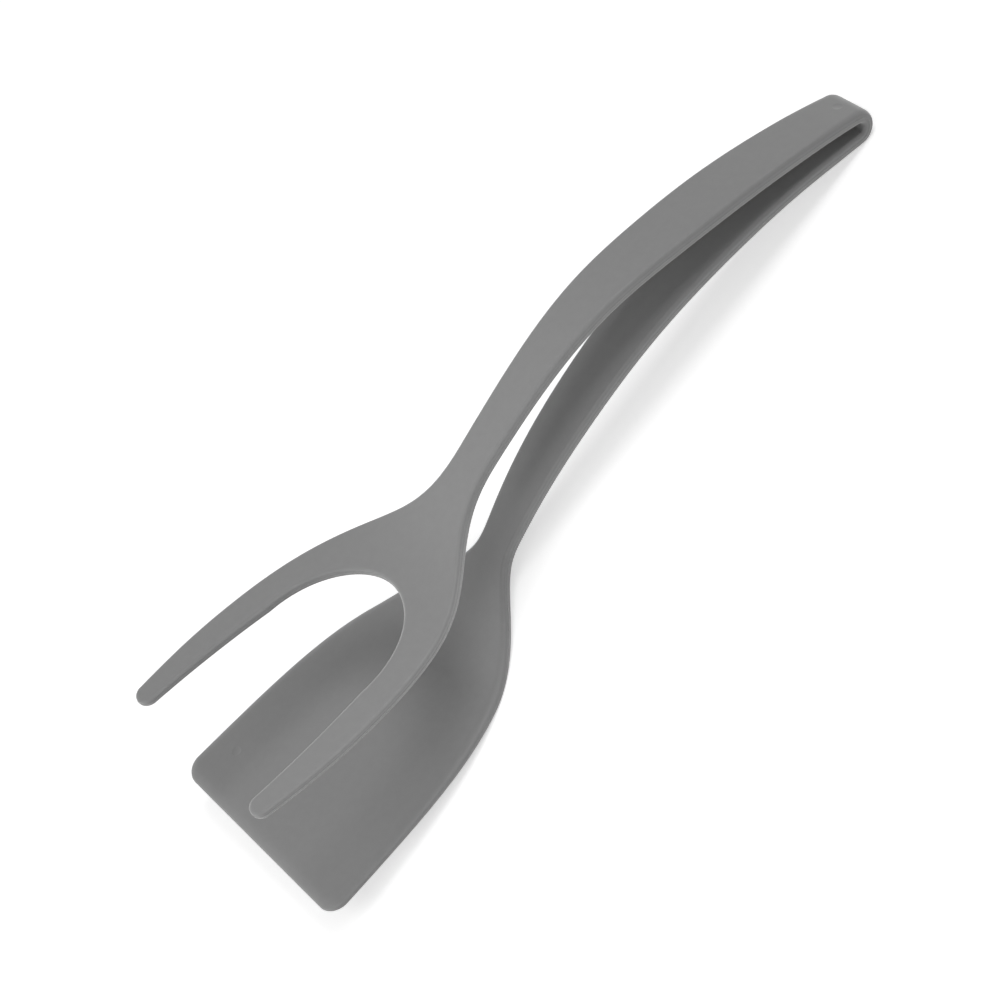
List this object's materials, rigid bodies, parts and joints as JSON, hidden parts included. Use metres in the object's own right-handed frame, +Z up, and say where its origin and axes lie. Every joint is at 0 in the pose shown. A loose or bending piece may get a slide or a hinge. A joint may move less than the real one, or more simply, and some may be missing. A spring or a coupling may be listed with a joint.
{
  "type": "spatula tongs",
  "caption": "Soft-skinned kitchen tongs: one strap bent double at the heel, with a flat turner blade below and a two-pronged fork above.",
  "frame": {"origin": "middle of the base of the bounding box, on the table that the tongs rest on", "axes": "+X from the blade and fork towards the heel bend, +Z up from the blade to the fork, Y across the strap"},
  "size_m": [0.2974, 0.0842, 0.0618],
  "materials": {
    "silicone": "matt mid-grey silicone with soft moulded edges",
    "spring_steel": "plain cold-rolled stainless strip",
    "nylon": "black glass-filled nylon"
  },
  "bodies": {
    "spatula_arm": {"spatula_skin": "silicone", "blade_plate": "nylon"},
    "heel": {"heel_skin": "silicone", "spring_strip": "spring_steel"},
    "fork_arm": {"fork_skin": "silicone", "fork_plate": "nylon"}
  },
  "joints": [
    {"name": "lower_flex", "type": "hinge", "parent": "spatula_arm", "child": "heel", "pos_m": [0.11923, 0, 0.01152], "axis": [0, -1, 0], "range_deg": [-1, 4.5], "stiffness_Nm_per_rad": 14, "deforming": ["spring_strip"]},
    {"name": "upper_flex", "type": "hinge", "parent": "heel", "child": "fork_arm", "pos_m": [0.12094, 0, 0.02224], "axis": [0, -1, 0], "range_deg": [-1, 4.5], "deforming": ["spring_strip"]}
  ],
  "couplings": [
    {"joint": "upper_flex", "follows": "lower_flex", "ratio": 1}
  ]
}
